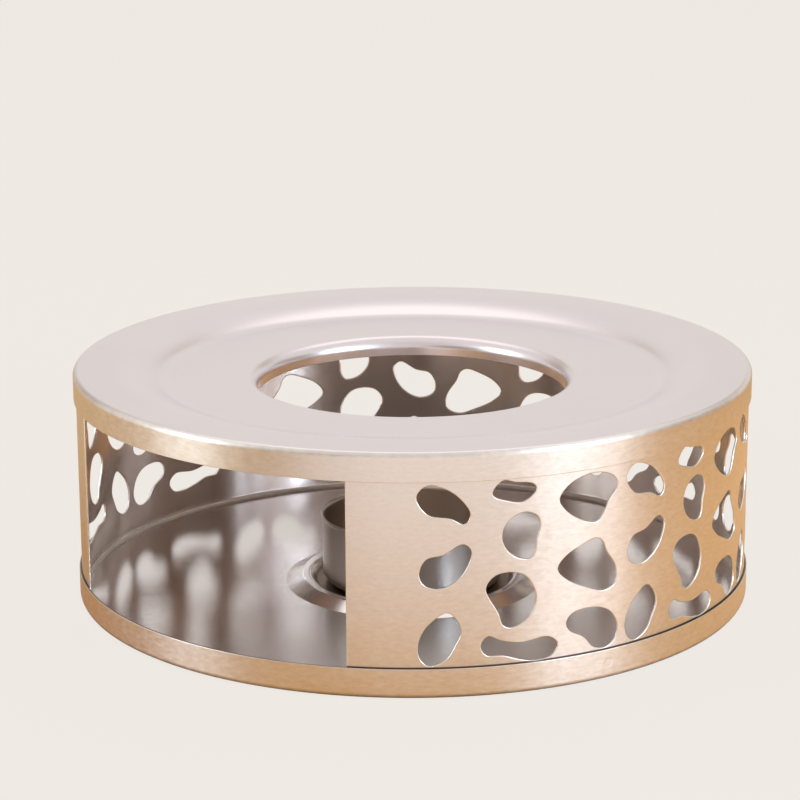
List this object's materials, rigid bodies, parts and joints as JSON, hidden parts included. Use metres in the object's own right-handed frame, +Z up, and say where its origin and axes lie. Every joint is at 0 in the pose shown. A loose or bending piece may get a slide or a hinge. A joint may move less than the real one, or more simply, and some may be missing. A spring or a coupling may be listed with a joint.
{
  "type": "teapot warmer",
  "caption": "Round stainless steel teapot warmer: recessed top plate with a central hole, wall of pebble-shaped holes with an open window, base tray and a loose tealight cup.",
  "frame": {"origin": "middle of the warmer's footprint, on the surface it stands on", "axes": "+Z up along the warmer's axis, -Y towards the front, with the window to the left of the front, +X to the right"},
  "size_m": [0.15, 0.15, 0.0514],
  "materials": {
    "plate_steel": "satin stainless steel",
    "wall_steel": "stainless steel, brushed along the strip",
    "tray_steel": "stainless steel, satin floor and brushed skirt",
    "cup_steel": "drawn stainless steel, half bright"
  },
  "bodies": {
    "shell": {"top_plate": "plate_steel", "side_wall": "wall_steel", "base_tray": "tray_steel"},
    "cup": {"candle_cup": "cup_steel"}
  },
  "joints": [
    {"name": "candle_cup_lift", "type": "slide", "parent": "shell", "child": "cup", "axis": [0, 0, 1], "range_m": [0, 0.056]}
  ]
}
